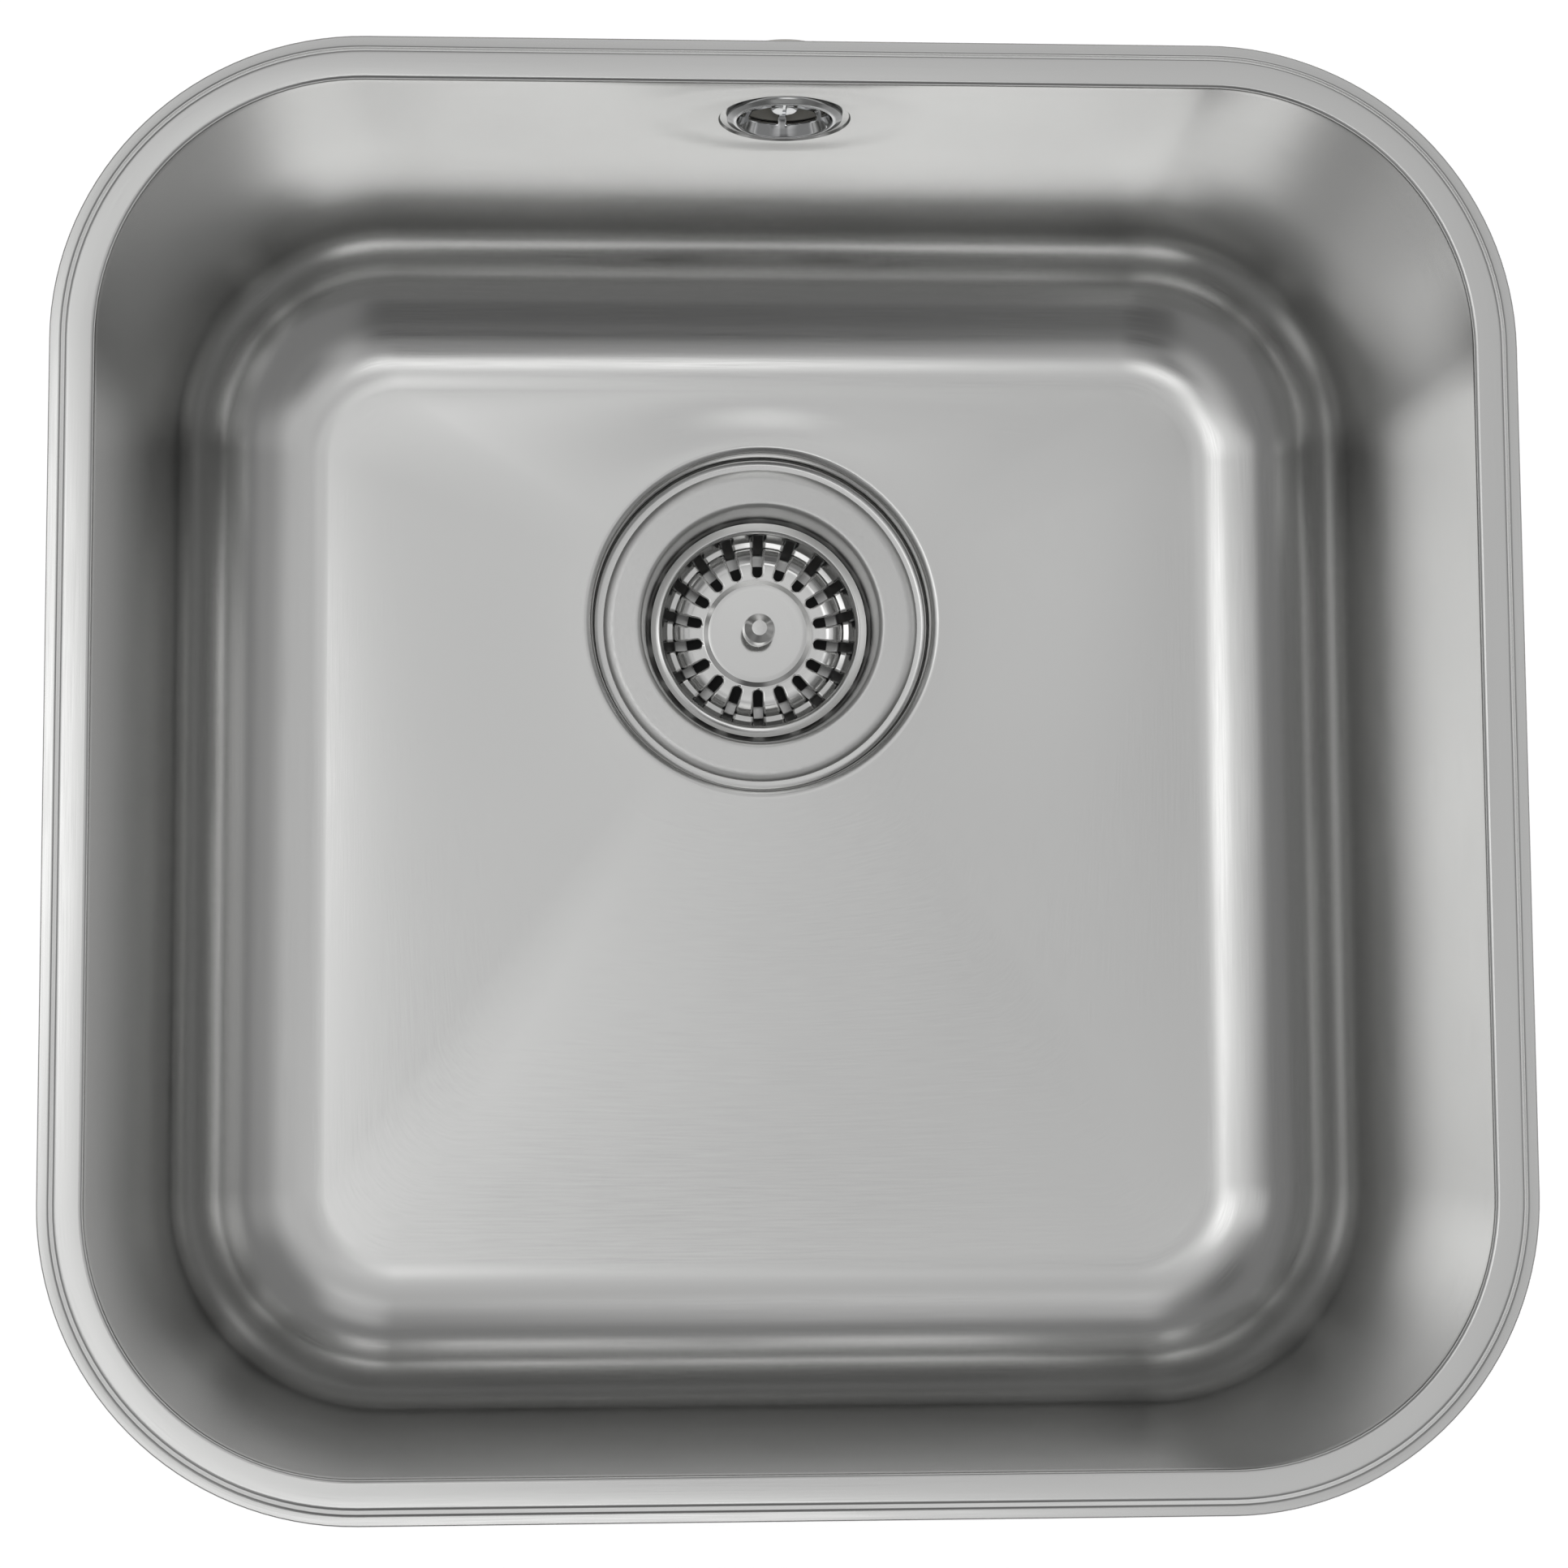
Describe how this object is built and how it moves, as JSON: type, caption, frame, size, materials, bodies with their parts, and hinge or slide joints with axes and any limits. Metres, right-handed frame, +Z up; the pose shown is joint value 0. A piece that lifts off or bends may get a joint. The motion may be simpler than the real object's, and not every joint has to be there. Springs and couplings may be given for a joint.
{
  "type": "undermount kitchen sink",
  "caption": "Square pressed-steel undermount sink with stepped flange, strainer basket waste behind centre, and overflow piped to the waste.",
  "frame": {"origin": "centre of the flange, at the height of its raised top face, which is glued under the worktop", "axes": "+X to the right, +Y to the wall with the overflow, at the back, +Z up out of the bowl"},
  "size_m": [0.45, 0.4653, 0.292],
  "materials": {
    "pressed_steel": "brushed satin",
    "polished_steel": "polished",
    "turned_steel": "turned satin",
    "screw_steel": "plain",
    "chrome": "bright",
    "brass": "plain",
    "black_rubber": "matte",
    "pad_rubber": "matte",
    "white_plastic": "moulded",
    "hose_plastic": "moulded",
    "catch_plastic": "moulded"
  },
  "bodies": {
    "root": {"bowl": "pressed_steel", "sound_pad_floor": "pad_rubber", "sound_pad_left": "pad_rubber", "sound_pad_right": "pad_rubber", "waste_flange": "polished_steel", "flange_seal": "black_rubber", "body_gasket": "black_rubber", "waste_body": "white_plastic", "waste_spigot": "white_plastic", "body_insert": "brass", "fixing_screw": "screw_steel", "overflow_rose": "chrome", "rose_screw": "chrome", "rose_gasket": "black_rubber", "overflow_elbow": "white_plastic", "elbow_insert": "brass", "overflow_pipe": "hose_plastic", "pipe_nut_upper": "white_plastic", "pipe_nut_lower": "white_plastic", "pipe_seal_upper": "black_rubber", "pipe_seal_lower": "black_rubber"},
    "catch": {"stem_catch": "catch_plastic"},
    "basket": {"basket_cup": "polished_steel", "basket_knob": "turned_steel", "basket_stem": "screw_steel", "basket_stopper": "black_rubber", "stopper_washer": "screw_steel", "stem_nut": "screw_steel"}
  },
  "joints": [
    {"name": "basket_lift", "type": "slide", "parent": "root", "child": "catch", "axis": [0, 0, 1], "range_m": [0, 0.27]},
    {"name": "basket_turn", "type": "hinge", "parent": "catch", "child": "basket", "pos_m": [0, 0.072, -0.22], "axis": [0, 0, 1], "continuous": true}
  ]
}
